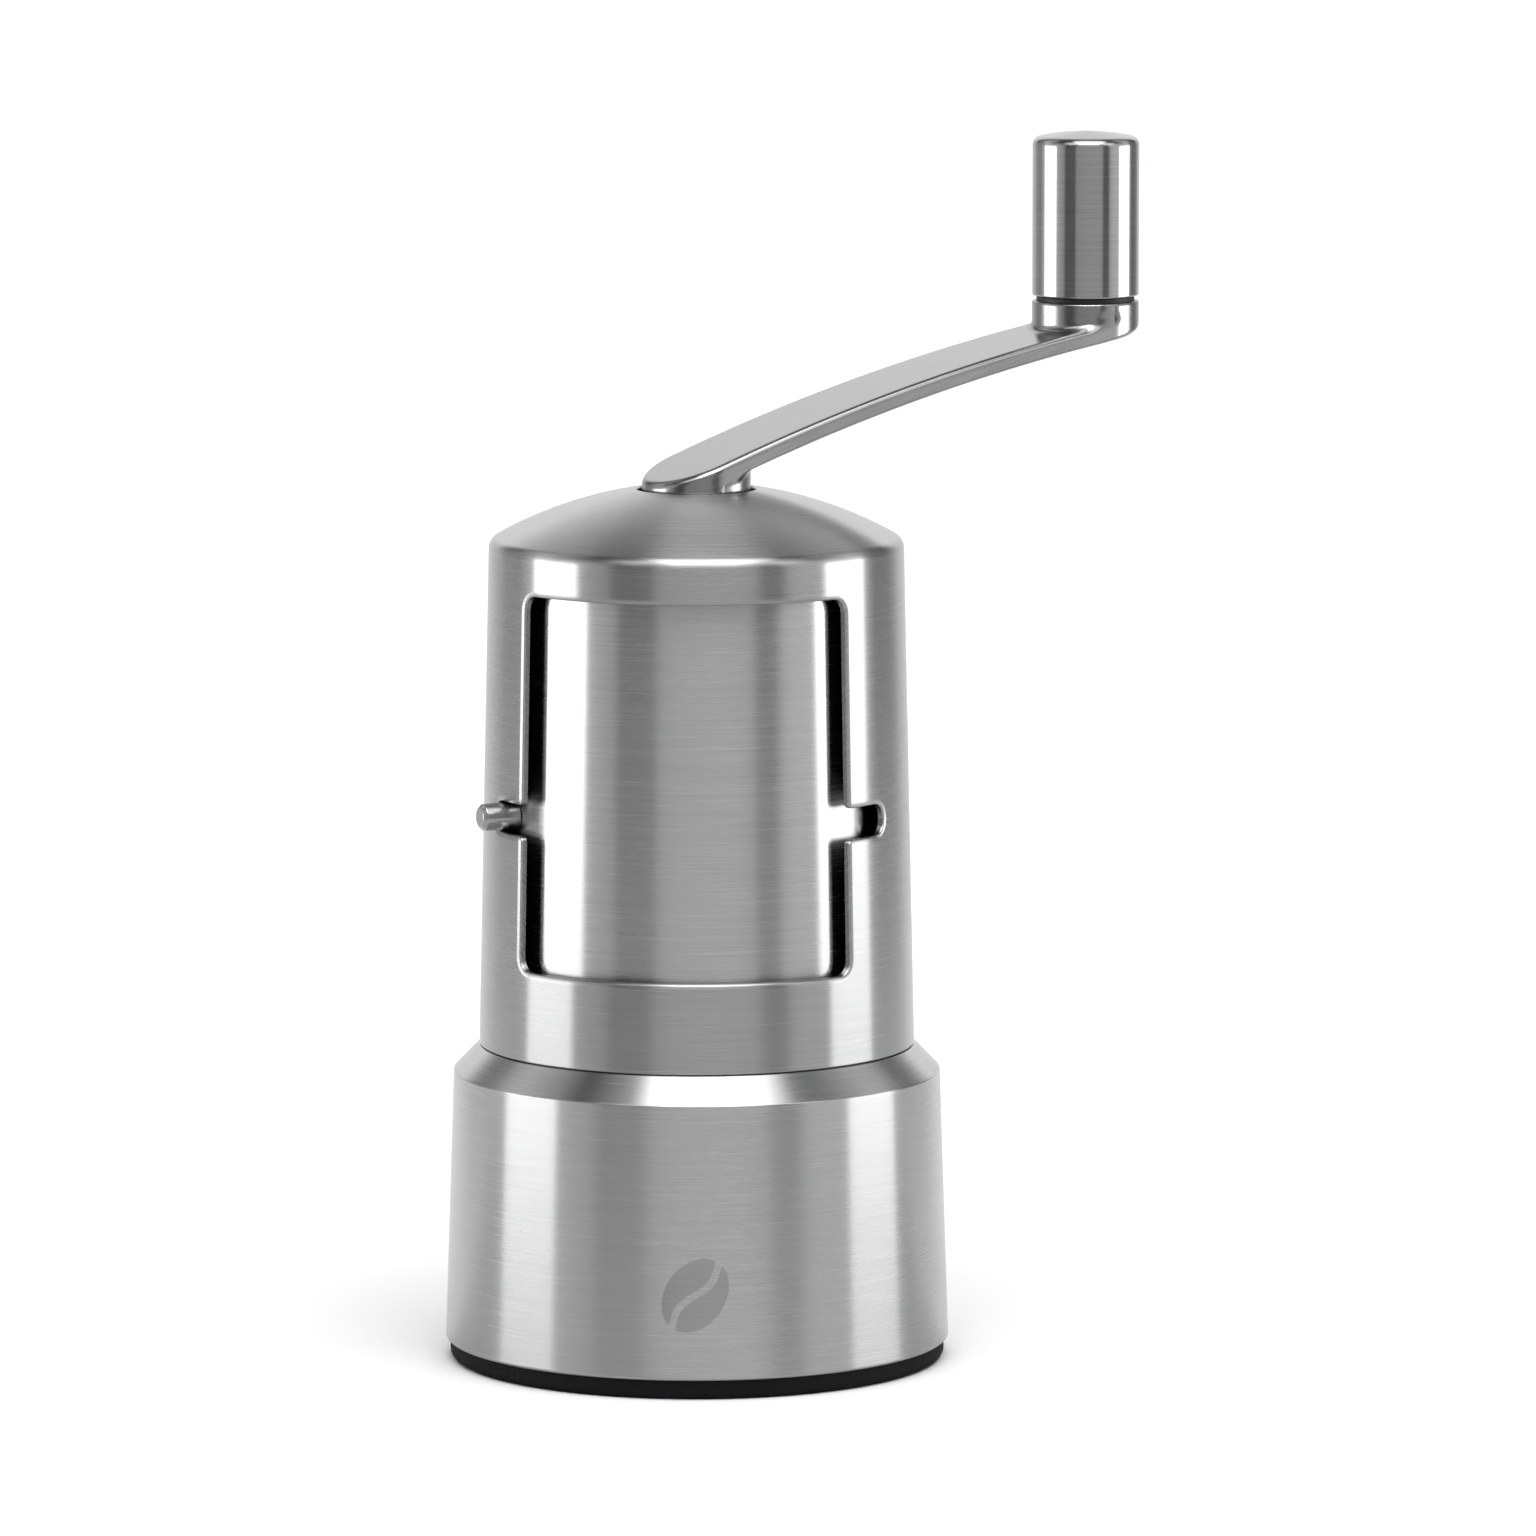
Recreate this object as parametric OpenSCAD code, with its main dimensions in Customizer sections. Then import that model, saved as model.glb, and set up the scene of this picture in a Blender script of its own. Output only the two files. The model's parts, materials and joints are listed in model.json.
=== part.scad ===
// Hand crank coffee grinder.
// Origin: centre of the foot's flat underside, on the mill's axis. +Z is up,
// and the filling window faces -Y. All lengths are millimetres, all angles degrees.

/* [Base] */
// Radius of the steel cup at its lower edge
cup_bottom_r = 40; // [39.5:0.1:42]
// Radius of the steel cup just under its shoulder
cup_top_r = 38.6; // [38:0.1:39.2]
// Height of the shoulder's lower edge
shoulder_low_z = 46; // [45:0.1:47]
// Height of the shoulder's upper edge, where the upper shell sits
shoulder_top_z = 50.3; // [50:0.1:51]
// Height of the rubber foot
foot_h = 3.1; // [2.5:0.1:3.5]
// Radius of the foot where it touches the table
foot_r = 38; // [37:0.1:38.5]

/* [Shell] */
// Radius of the upper shell at its lower edge
shell_bottom_r = 34.5; // [34.4:0.05:35]
// Radius of the upper shell where the wall meets the dome
shell_top_r = 32.8; // [32.5:0.05:33]
// Height of the top of the dome
dome_top_z = 139.4; // [139:0.1:140.5]
// Radius of the dome's spherical surface
dome_r = 65; // [62:0.5:68]
// Radius of the rounded edge between wall and dome
rim_fillet = 2.2; // [1.8:0.1:3]
// Radius of the hole in the dome for the crank's hub
dome_hole_r = 9.4; // [9.2:0.1:10]
// Sheet thickness of the shell and the cup
wall = 1.2; // [1:0.05:1.3]

/* [Window] */
// Half of the angle that the filling window spans
window_half_deg = 49.7; // [45:0.1:51]
// Height of the window's lower edge
window_low_z = 64.6; // [64:0.1:66]
// Height of the window's upper edge
window_high_z = 123.8; // [122:0.1:124]
// Radius of the window's corners
window_corner_r = 2.4; // [1:0.1:3]
// Height of the middle of the peg's slot
slot_z = 88.3; // [80:0.1:100]
// Width of the peg's slot
slot_w = 5; // [4.8:0.1:5.4]
// Angle from the window's middle to the peg at either end of its travel
peg_stop_deg = 61.5; // [60:0.5:63]

/* [Shutter] */
// Space between the shell and the turning sleeve
sleeve_gap = 1.5; // [1.2:0.1:1.7]
// Sheet thickness of the sleeve
sleeve_wall = 1; // [0.8:0.1:1.1]
// Radius of the peg
peg_r = 2.15; // [2:0.05:2.2]
// Distance from the axis to the peg's tip
peg_tip_r = 37.2; // [36.5:0.1:39]

/* [Crank] */
// Angle of the crank at rest, measured from +X towards +Y
crank_deg = 35.9; // [0:0.1:359]
// Distance from the mill's axis to the knob's axis
crank_len = 73.2; // [70:0.1:78]
// Half of the arm's width, and the radius of its hub
arm_r = 8.6; // [8.4:0.1:9]
// Thickness of the arm
arm_t = 2.7; // [2.5:0.1:3.2]
// Height of the arm's top face on the hub's axis
arm_hub_z = 143.1; // [142.8:0.1:144]
// Slope of the arm's top face at the hub
arm_slope_deg = 19.8; // [19:0.1:20.5]
// Radius of the arm's long curve
arm_curve_r = 400; // [380:5:430]
// Height of the boss that carries the knob
boss_top_z = 165.1; // [164.5:0.1:166]
// Radius of the knob
knob_r = 8.6; // [8.4:0.1:9]
// Height of the knob's lower edge
knob_low_z = 165.9; // [165.8:0.1:166.8]
// Height of the middle of the knob's top
knob_top_z = 192.3; // [190:0.1:195]

/* [Grinding gear] */
// Radius of the drive shaft
shaft_r = 3; // [2.9:0.05:3.1]
// Outer radius of the ring burr
ring_burr_r = 17.2; // [17:0.1:17.4]
// Sideways gap between the two burrs at rest
burr_gap = 0.6; // [0.5:0.05:0.8]
// Number of cutting grooves on each burr
burr_teeth = 12; // [8:1:16]
// Radius of the adjusting wheel
wheel_r = 12; // [11:0.5:13]

/* [Hidden] */
$fn = 96;

// Clearances between pieces that move on each other
running_gap = 0.05;
guide_gap = 0.1;
seat_gap = 0.15;
free_gap = 0.3;
// Extra length that lets a cutter pass right through
cut = 1;

// Heights of the inner pieces, from the bottom up
shaft_low_z = 17.5;
insert_low_z = 19.6;
wheel_low_z = 20.6;
wheel_top_z = 25.9;
carrier_low_z = wheel_top_z + free_gap;
cone_low_z = 29;
waist_z = 35;
cone_top_z = 44.8;
hex_low_z = 25.2;
hex_top_z = 46;
ring_top_z = 47;
seat_low_z = 49.6;
seat_top_z = 50.6;
flange_low_z = 48.5;
flange_top_z = 51;
collar_low_z = 43.5;
seal_z = 46.8;
seal_bead_r = 0.61;
collar_top_z = 54;
funnel_top_z = 59.5;
sleeve_low_z = 57.6;
sleeve_top_z = 126;
plate_low_z = 126.4;
plate_top_z = 129;
bush_top_z = 130.4;
hub_low_z = 132.2;

// Radii of the inner pieces
neck_r = shell_bottom_r - wall;
collar_r = 32.2;
throat_r = 15.5;
bush_r = 4.5;
stem_r = 5;
screw_circle_r = 22.5;
screw_r = 1.4;

// Radius of the conical shell's outer face at a height
dome_centre_z = dome_top_z - dome_r;
rim_z = dome_centre_z + sqrt(pow(dome_r - rim_fillet, 2) - pow(shell_top_r - rim_fillet, 2));
shell_low_z = shoulder_top_z + seat_gap;
function shell_out(z) = shell_bottom_r
    + (shell_top_r - shell_bottom_r) * (z - shell_low_z) / (rim_z - shell_low_z);
function shell_in(z) = shell_out(z) - wall;
function sleeve_out(z) = shell_in(z) - sleeve_gap;
function sleeve_in(z) = sleeve_out(z) - sleeve_wall;

// Points on an arc of radius r about c, from angle a to angle b
function arc(c, r, a, b, n) = [for (i = [0:n]) let (t = a + (b - a) * i / n)
    [c[0] + r * cos(t), c[1] + r * sin(t)]];

// A ring of rectangular section
module ring(r_in, r_out, z_low, z_high) {
    translate([0, 0, z_low]) difference() {
        cylinder(r = r_out, h = z_high - z_low);
        translate([0, 0, -cut]) cylinder(r = r_in, h = z_high - z_low + 2 * cut);
    }
}

// A disc between two heights
module disc(r, z_low, z_high) {
    translate([0, 0, z_low]) cylinder(r = r, h = z_high - z_low);
}

// A wedge about the -Y direction, reaching out past the shell; its two side planes
// pass the axis at a distance inset
module wedge(half_deg, z_low, z_high, inset = 0) {
    reach = 60;
    apex_y = -inset / sin(half_deg);
    side = [for (s = [-1, -0.5, 0, 0.5, 1])
        [reach * sin(s * half_deg), apex_y - reach * cos(s * half_deg)]];
    translate([0, 0, z_low]) linear_extrude(z_high - z_low) polygon(concat([[0, apex_y]], side));
}

// A rod along the radial direction at an angle from -Y towards +X, from radius r_in to r_out,
// moved sideways by shift
module radial_rod(deg, z, r, r_in, r_out, shift = 0) {
    rotate([0, 0, deg]) translate([shift, -r_in, z]) rotate([90, 0, 0])
        cylinder(r = r, h = r_out - r_in);
}

// The cutter of a window with rounded corners: its sides are radial planes
module window_cutter(half_deg, z_low, z_high, corner) {
    wedge(half_deg, z_low, z_high, corner);
    wedge(half_deg, z_low + corner, z_high - corner);
    for (side = [-1, 1], z = [z_low + corner, z_high - corner])
        radial_rod(side * half_deg, z, corner, 15, 50, -side * corner);
}

// Places its children on the crank's arm: +X runs from the hub to the knob
module along_arm() {
    rotate([0, 0, crank_deg]) children();
}

module at_knob() {
    along_arm() translate([crank_len, 0, 0]) children();
}

// ---------------------------------------------------------------- base

module base_foot() color("#161616") {
    edge_r = 1.3;
    top_r = foot_r + edge_r;
    rotate_extrude() polygon(concat(
        [[0, 0]],
        arc([foot_r, edge_r], edge_r, -90, 0, 8),
        [[top_r, foot_h], [0, foot_h]]));
}

module grounds_cup() color("#c4c5c6") {
    edge_r = 0.5;
    floor_z = foot_h + wall;
    rotate_extrude() polygon(concat(
        [[0, foot_h]],
        arc([cup_bottom_r - edge_r, foot_h + edge_r], edge_r, -90, 0, 6),
        [[cup_top_r + 0.05, shoulder_low_z - 0.6], [cup_top_r - 0.35, shoulder_low_z + 0.1]],
        [[shell_bottom_r + 0.25, shoulder_top_z - 0.2], [shell_bottom_r - 0.15, shoulder_top_z]],
        [[neck_r, shoulder_top_z], [neck_r, shoulder_top_z - 0.8]],
        [[cup_top_r - wall - 0.4, shoulder_low_z - wall], [cup_bottom_r - wall, floor_z + 1]],
        [[cup_bottom_r - wall - 1, floor_z], [0, floor_z]]));
}

module cup_neck_ring() color("#1b1b1c") {
    ring(collar_r + guide_gap, neck_r, collar_low_z - 1, shoulder_top_z - 0.5);
}

// ---------------------------------------------------------------- housing

module outer_shell() color("#c4c5c6") {
    dome_inner_r = dome_r - wall;
    rim_deg = atan2(rim_z - dome_centre_z, shell_top_r - rim_fillet);
    hole_edge = 0.35;
    difference() {
        rotate_extrude() polygon(concat(
            [[shell_bottom_r, shell_low_z]],
            arc([shell_top_r - rim_fillet, rim_z], rim_fillet, 0, rim_deg, 10),
            arc([0, dome_centre_z], dome_r, rim_deg + 0.8, acos((dome_hole_r + hole_edge) / dome_r), 24),
            arc([0, dome_centre_z], dome_inner_r, acos(dome_hole_r / dome_inner_r), rim_deg, 24),
            arc([shell_top_r - rim_fillet, rim_z], rim_fillet - wall, rim_deg - 6, 0, 8),
            [[shell_bottom_r - wall, shell_low_z]]));
        window_cutter(window_half_deg, window_low_z, window_high_z, window_corner_r);
        wedge(peg_stop_deg, slot_z - slot_w / 2, slot_z + slot_w / 2);
        for (side = [-1, 1]) radial_rod(side * peg_stop_deg, slot_z, slot_w / 2, 20, 45);
    }
}

module body_collar() color("#1b1b1c") {
    groove_d = 2 * seal_bead_r + running_gap;
    groove_h = 1.5;
    difference() {
        union() {
            ring(collar_r - 1.8, collar_r, collar_low_z, shell_low_z);
            ring(throat_r, shell_in(collar_top_z), shell_low_z + 0.55, collar_top_z);
            ring(collar_r - 1.8, shell_in(collar_top_z), shell_low_z, collar_top_z);
        }
        ring(collar_r - groove_d, collar_r + cut, seal_z - groove_h / 2, seal_z + groove_h / 2);
        for (i = [0:2]) rotate([0, 0, 120 * i]) translate([screw_circle_r, 0, flange_top_z - cut])
            cylinder(r = screw_r, h = 2.8 + cut);
    }
}

module seal_ring() color("#101010") {
    translate([0, 0, seal_z]) rotate_extrude() translate([collar_r - seal_bead_r, 0])
        circle(r = seal_bead_r, $fn = 24);
}

module lower_glide_ring() color("#e8e8e4") {
    lip_r = sleeve_in(funnel_top_z) - guide_gap;
    union() {
        ring(lip_r - 1.2, shell_in(sleeve_low_z), collar_top_z, sleeve_low_z - seat_gap);
        ring(lip_r - 1.2, lip_r, collar_top_z, funnel_top_z);
    }
}

module upper_glide_ring() color("#e8e8e4") {
    lip_r = sleeve_in(sleeve_top_z) - guide_gap;
    union() {
        ring(lip_r - 1.2, shell_in(plate_low_z), sleeve_top_z + seat_gap, plate_low_z);
        ring(lip_r - 1.2, lip_r, sleeve_top_z - 1.8, plate_low_z);
    }
}

module top_bearing_plate() color("#2a2a2b") {
    rim_r = shell_in(plate_top_z);
    boss_r = 9;
    difference() {
        union() {
            disc(rim_r, plate_low_z, plate_top_z);
            disc(boss_r, plate_low_z - 1.6, plate_top_z);
        }
        disc(bush_r + 1.5, plate_low_z - 1.6 - cut, plate_top_z + cut);
        for (i = [0:5]) rotate([0, 0, 60 * i]) translate([19, 0, plate_low_z - cut])
            cylinder(r = 6, h = plate_top_z - plate_low_z + 2 * cut);
    }
}

module top_bush() color("#b5893f") {
    difference() {
        union() {
            disc(bush_r + 1.5, plate_low_z - 1.6, plate_top_z);
            disc(bush_r + 3.5, plate_top_z, bush_top_z);
        }
        disc(shaft_r + running_gap, plate_low_z - 3, bush_top_z + cut);
    }
}

module hopper_funnel() color("#2a2a2b") {
    top_r = sleeve_in(funnel_top_z) - guide_gap - 1.2 - running_gap;
    hub_top_z = 56.5;
    skin = 1.4;
    difference() {
        union() {
            rotate_extrude() polygon([
                [throat_r, collar_top_z], [throat_r + 2.5, collar_top_z], [top_r, funnel_top_z - 2.5],
                [top_r, funnel_top_z], [top_r - 0.6, funnel_top_z], [throat_r, collar_top_z + skin]]);
            disc(bush_r + 1.6, flange_top_z, hub_top_z);
            for (i = [0:2]) rotate([0, 0, 120 * i + 60]) translate([bush_r + 1, -1, collar_top_z])
                cube([throat_r - bush_r, 2, 2]);
        }
        disc(bush_r, flange_top_z - cut, hub_top_z + cut);
    }
}

module lower_bush() color("#b5893f") {
    ring(shaft_r + running_gap, bush_r, flange_top_z, 57);
}

module burr_housing() color("#1b1b1c") {
    skirt_r = ring_burr_r + 2;
    flange_r = 26;
    difference() {
        union() {
            disc(skirt_r, cone_low_z - 1.5, flange_top_z);
            disc(flange_r, flange_low_z, flange_top_z);
        }
        disc(ring_burr_r, cone_low_z, ring_top_z);
        disc(throat_r, cone_low_z - 3, flange_top_z + cut);
        for (i = [0:2]) rotate([0, 0, 120 * i]) translate([screw_circle_r, 0, flange_low_z - cut])
            cylinder(r = screw_r + 0.1, h = 5);
    }
}

// Cutting grooves that lean round the burr's axis
module burr_grooves(r_mid, z_mid, width, length, lean) {
    for (i = [0:burr_teeth - 1]) rotate([0, 0, 360 / burr_teeth * i])
        translate([r_mid, 0, z_mid]) rotate([lean, 0, 0])
            cube([width, width, length], center = true);
}

module ring_burr() color("#e9e6df") {
    difference() {
        rotate_extrude() polygon([
            [throat_r - 0.6, ring_top_z], [12, waist_z], [14.6, cone_low_z],
            [ring_burr_r, cone_low_z], [ring_burr_r, ring_top_z]]);
        burr_grooves(13.2, 40, 2.2, 26, 24);
    }
}

module housing_screws() color("#8f9194") {
    head_h = 2.2;
    for (i = [0:2]) rotate([0, 0, 120 * i]) translate([screw_circle_r, 0, flange_low_z]) {
        cylinder(r = screw_r, h = 5);
        difference() {
            translate([0, 0, -head_h]) cylinder(r = 2.6, h = head_h);
            translate([-0.4, -2, -head_h - cut]) cube([0.8, 4, cut + 0.9]);
            translate([-2, -0.4, -head_h - cut]) cube([4, 0.8, cut + 0.9]);
        }
    }
}

// ---------------------------------------------------------------- shutter

// The sleeve's own window lies behind the shell at rest: it faces -Y when the peg is at its other stop
module shutter_sleeve() color("#b9babb") {
    rotate([0, 0, -2 * peg_stop_deg]) difference() {
        rotate_extrude() polygon([
            [sleeve_out(sleeve_low_z), sleeve_low_z], [sleeve_out(sleeve_top_z), sleeve_top_z],
            [sleeve_in(sleeve_top_z), sleeve_top_z], [sleeve_in(sleeve_low_z), sleeve_low_z]]);
        wedge(window_half_deg, window_low_z - 1, window_high_z - 0.6);
        radial_rod(peg_stop_deg, slot_z, 1.2, 20, 40);
    }
}

module shutter_peg() color("#b9babb") {
    chamfer = 0.6;
    seat_r = sleeve_out(slot_z);
    nut_r = sleeve_in(slot_z) - 1.7;
    rotate([0, 0, -peg_stop_deg]) translate([0, 0, slot_z]) rotate([90, 0, 0]) rotate_extrude()
        polygon([[0, nut_r], [1.2, nut_r], [1.2, seat_r], [peg_r, seat_r],
            [peg_r, peg_tip_r - chamfer], [peg_r - chamfer, peg_tip_r], [0, peg_tip_r]]);
}

module peg_nut() color("#8f9194") {
    nut_h = 1.6;
    nut_out = sleeve_in(slot_z);
    rotate([0, 0, -peg_stop_deg]) translate([0, -nut_out + nut_h + 0.1, slot_z]) rotate([90, 0, 0])
        difference() {
            cylinder(r = 2.4, h = nut_h, $fn = 6);
            translate([0, 0, -cut]) cylinder(r = 1.2, h = nut_h + 2 * cut);
        }
}

// ---------------------------------------------------------------- crank

// The arm's outline seen from above, as a prism
module arm_plan(z_low, z_high) {
    disc(arm_r, z_low, z_high);
    translate([crank_len, 0, 0]) disc(arm_r, z_low, z_high);
    translate([0, -arm_r, z_low]) cube([crank_len, 2 * arm_r, z_high - z_low]);
}

// The curved side outline of the arm, as a cylinder across it; r is its radius
module arm_curve(r) {
    translate([arm_curve_r * sin(arm_slope_deg), 50, arm_hub_z - arm_curve_r * cos(arm_slope_deg)])
        rotate([90, 0, 0]) cylinder(r = r, h = 100, $fn = 720);
}

// A concave flare about Z: radius r + f at z_wide, narrowing to r over a height f, up (1) or down (-1)
module flare(r, f, z_wide, up) {
    rotate_extrude() polygon(concat(
        [[0, z_wide]],
        arc([r + f, z_wide + up * f], f, -90 * up, -180 * up, 8),
        [[0, z_wide + up * f]]));
}

module crank_arm() color("#bfc0c1") {
    boss_low_z = 159.9;
    hub_flare_r = 1.3;
    boss_flare_r = 2;
    // The flares' small ends lie a little inside the hub and the boss
    flare_sink = 0.1;
    along_arm() difference() {
        union() {
            intersection() {
                arm_plan(hub_low_z, boss_top_z);
                difference() {
                    arm_curve(arm_curve_r);
                    arm_curve(arm_curve_r - arm_t);
                }
            }
            intersection() {
                arm_plan(hub_low_z, boss_top_z);
                arm_curve(arm_curve_r);
                union() {
                    disc(arm_r, hub_low_z, arm_hub_z + 5);
                    flare(arm_r - flare_sink, hub_flare_r, 144.2, -1);
                }
            }
            translate([crank_len, 0, 0]) disc(arm_r, boss_low_z + 1, boss_top_z);
            difference() {
                intersection() {
                    arm_plan(hub_low_z, boss_top_z);
                    translate([crank_len, 0, 0]) flare(arm_r - flare_sink, boss_flare_r, 159.5, 1);
                }
                arm_curve(arm_curve_r - arm_t);
            }
        }
        disc(shaft_r, hub_low_z - cut, arm_hub_z - 4);
        translate([crank_len, 0, 0]) disc(2.5, boss_low_z + 1, boss_top_z + cut);
    }
}

module drive_shaft() color("#9a9c9f") {
    disc(shaft_r, shaft_low_z, hex_low_z);
    translate([0, 0, hex_low_z]) cylinder(r = shaft_r, h = hex_top_z - hex_low_z, $fn = 6);
    disc(shaft_r, hex_top_z, arm_hub_z - 4);
}

module thrust_washer() color("#8f9194") {
    ring(shaft_r, bush_r + 3.5, bush_top_z + seat_gap, hub_low_z);
}

module shaft_clip() color("#6e7073") {
    ring(shaft_r, shaft_r + 2.5, plate_low_z - 2.7, plate_low_z - 1.9);
}

module spring_seat() color("#8f9194") {
    ring(shaft_r, shaft_r + 2.4, seat_low_z, seat_top_z);
}

// A compression spring about the shaft, swept along its turns
module burr_spring() color("#9a9c9f") {
    wire_r = 0.4;
    coil_r = 4.3;
    turns = 4;
    per_turn = 20;
    sides = 8;
    low_z = cone_top_z + wire_r;
    high_z = seat_low_z - wire_r;
    steps = turns * per_turn;
    points = [for (i = [0:steps], k = [0:sides - 1]) let (
        a = 360 * i / per_turn,
        b = 360 * k / sides,
        r = coil_r + wire_r * cos(b))
        [r * cos(a), r * sin(a), low_z + (high_z - low_z) * i / steps + wire_r * sin(b)]];
    walls = [for (i = [0:steps - 1], k = [0:sides - 1]) let (n = (k + 1) % sides)
        [i * sides + k, i * sides + n, (i + 1) * sides + n, (i + 1) * sides + k]];
    start = [for (k = [0:sides - 1]) sides - 1 - k];
    end = [for (k = [0:sides - 1]) steps * sides + k];
    polyhedron(points, concat([start], walls, [end]));
}

module knob_axle() color("#9a9c9f") {
    head_low_z = 184;
    at_knob() {
        disc(2.5, 160.9, boss_top_z);
        disc(shaft_r, boss_top_z, head_low_z);
        difference() {
            disc(4.6, head_low_z, head_low_z + 2.6);
            translate([0, 0, head_low_z + 1.2]) cylinder(r = 2, h = 3, $fn = 6);
        }
    }
}

module knob_washer() color("#111111") {
    at_knob() ring(shaft_r, knob_r - 0.7, boss_top_z, knob_low_z - seat_gap);
}

// ---------------------------------------------------------------- knob

module knob_shell() color("#b9babb") {
    edge_r = 1.5;
    crown = 0.7;
    skin = 1.2;
    side_top_z = knob_top_z - crown - edge_r;
    inner_top_z = side_top_z - 0.4;
    foot_edge = 0.25;
    at_knob() rotate_extrude() polygon(concat(
        [[knob_r - foot_edge, knob_low_z], [knob_r, knob_low_z + foot_edge]],
        arc([knob_r - edge_r, side_top_z], edge_r, 0, 78, 8),
        [for (t = [0.75, 0.5, 0.25, 0]) [(knob_r - edge_r) * t, knob_top_z - crown * t * t]],
        [[0, inner_top_z], [knob_r - skin, inner_top_z], [knob_r - skin, knob_low_z]]));
}

module knob_bush() color("#2a2a2b") {
    at_knob() difference() {
        disc(knob_r - 1.2, knob_low_z + 0.3, 189);
        disc(shaft_r + running_gap, knob_low_z - cut, 184);
        disc(4.6 + free_gap, 184 - free_gap, 187.2);
    }
}

// ---------------------------------------------------------------- burr and adjuster

module burr_carrier() color("#2a2a2b") {
    flange_r = 11;
    hex_r = shaft_r + 0.2;
    difference() {
        union() {
            disc(stem_r, cone_low_z, cone_top_z);
            disc(flange_r, carrier_low_z, cone_low_z);
        }
        translate([0, 0, carrier_low_z - cut])
            cylinder(r = hex_r, h = cone_top_z - carrier_low_z + 2 * cut, $fn = 6);
        for (i = [0:11]) rotate([0, 0, 30 * i]) translate([8.5, 0, carrier_low_z - cut])
            cylinder(r = 0.9, h = cut + 0.6);
    }
}

module cone_burr() color("#e9e6df") {
    difference() {
        rotate_extrude() polygon([
            [stem_r, cone_low_z], [14.6 - burr_gap, cone_low_z], [12 - burr_gap, waist_z],
            [6.2, cone_top_z], [stem_r, cone_top_z]]);
        burr_grooves(10.4, 40, 1.8, 26, -26);
    }
}

module adjusting_wheel() color("#2a2a2b") {
    grips = 10;
    difference() {
        disc(wheel_r, wheel_low_z, wheel_top_z);
        disc(stem_r, wheel_low_z - cut, wheel_top_z + cut);
        for (i = [0:grips - 1]) rotate([0, 0, 360 / grips * i])
            translate([wheel_r + 0.8, 0, wheel_low_z - cut])
                cylinder(r = 2, h = wheel_top_z - wheel_low_z + 2 * cut);
    }
}

module threaded_insert() color("#b5893f") {
    ring(shaft_r + running_gap, stem_r, insert_low_z, wheel_top_z);
}

base_foot();
grounds_cup();
cup_neck_ring();
outer_shell();
body_collar();
seal_ring();
lower_glide_ring();
upper_glide_ring();
top_bearing_plate();
top_bush();
hopper_funnel();
lower_bush();
burr_housing();
ring_burr();
housing_screws();
shutter_sleeve();
shutter_peg();
peg_nut();
crank_arm();
drive_shaft();
thrust_washer();
shaft_clip();
spring_seat();
burr_spring();
knob_axle();
knob_washer();
knob_shell();
knob_bush();
burr_carrier();
cone_burr();
adjusting_wheel();
threaded_insert();
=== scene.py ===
"""Hand crank coffee grinder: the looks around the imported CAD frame. Metres, +Z up, window facing -Y."""
import itertools
import json
import math

import bpy
import numpy as np
from mathutils import Matrix, Vector, geometry


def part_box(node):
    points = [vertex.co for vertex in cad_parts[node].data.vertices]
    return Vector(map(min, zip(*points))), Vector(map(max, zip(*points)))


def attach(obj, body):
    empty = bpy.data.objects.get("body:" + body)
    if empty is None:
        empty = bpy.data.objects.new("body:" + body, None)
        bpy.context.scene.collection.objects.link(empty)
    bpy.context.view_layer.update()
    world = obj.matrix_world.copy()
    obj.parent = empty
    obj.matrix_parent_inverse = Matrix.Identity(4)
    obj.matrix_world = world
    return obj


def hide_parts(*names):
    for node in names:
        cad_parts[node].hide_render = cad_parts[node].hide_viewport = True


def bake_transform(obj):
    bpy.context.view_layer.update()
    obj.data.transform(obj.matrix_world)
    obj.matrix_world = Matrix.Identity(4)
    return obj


MM = 0.001

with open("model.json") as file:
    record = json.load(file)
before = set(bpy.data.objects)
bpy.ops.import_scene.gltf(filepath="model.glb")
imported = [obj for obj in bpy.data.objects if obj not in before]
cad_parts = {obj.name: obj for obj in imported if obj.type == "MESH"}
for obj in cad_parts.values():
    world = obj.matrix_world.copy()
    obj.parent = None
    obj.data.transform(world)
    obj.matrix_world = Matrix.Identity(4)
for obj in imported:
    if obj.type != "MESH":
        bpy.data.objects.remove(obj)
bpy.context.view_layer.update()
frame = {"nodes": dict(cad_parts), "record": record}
scene = bpy.context.scene

# ---------------------------------------------------------------- sizes in millimetres, as in the CAD

WALL = 1.2
CUP_BOTTOM_R = 40.0
CUP_TOP_R = 38.6
SHOULDER_LOW_Z = 46.0
SHOULDER_TOP_Z = 50.3
FOOT_H = 3.1
FOOT_R = 38.0
SHELL_BOTTOM_R = 34.5
SHELL_TOP_R = 32.8
SHELL_LOW_Z = SHOULDER_TOP_Z + 0.15
DOME_TOP_Z = 139.4
DOME_R = 65.0
RIM_FILLET = 2.2
DOME_HOLE_R = 9.4
WINDOW_HALF = math.radians(49.7)
WINDOW_LOW_Z = 64.6
WINDOW_HIGH_Z = 123.8
WINDOW_CORNER = 2.4
SLOT_Z = 88.3
SLOT_HALF = 2.5
PEG_STOP = math.radians(61.5)
PEG_R = 2.15
PEG_TIP_R = 37.2
SLEEVE_LOW_Z = 57.6
SLEEVE_TOP_Z = 126.0
SLEEVE_GAP = 1.5
SLEEVE_WALL = 1.0
CRANK_LEN = 73.2
ARM_R = 8.6
ARM_T = 2.7
ARM_HUB_Z = 143.1
ARM_SLOPE = math.radians(19.8)
ARM_CURVE_R = 400.0
ARM_TURN = math.radians(35.9)
HUB_LOW_Z = 132.2
BOSS_TOP_Z = 165.1
KNOB_R = 8.6
KNOB_LOW_Z = 165.9
KNOB_TOP_Z = 192.3

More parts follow.
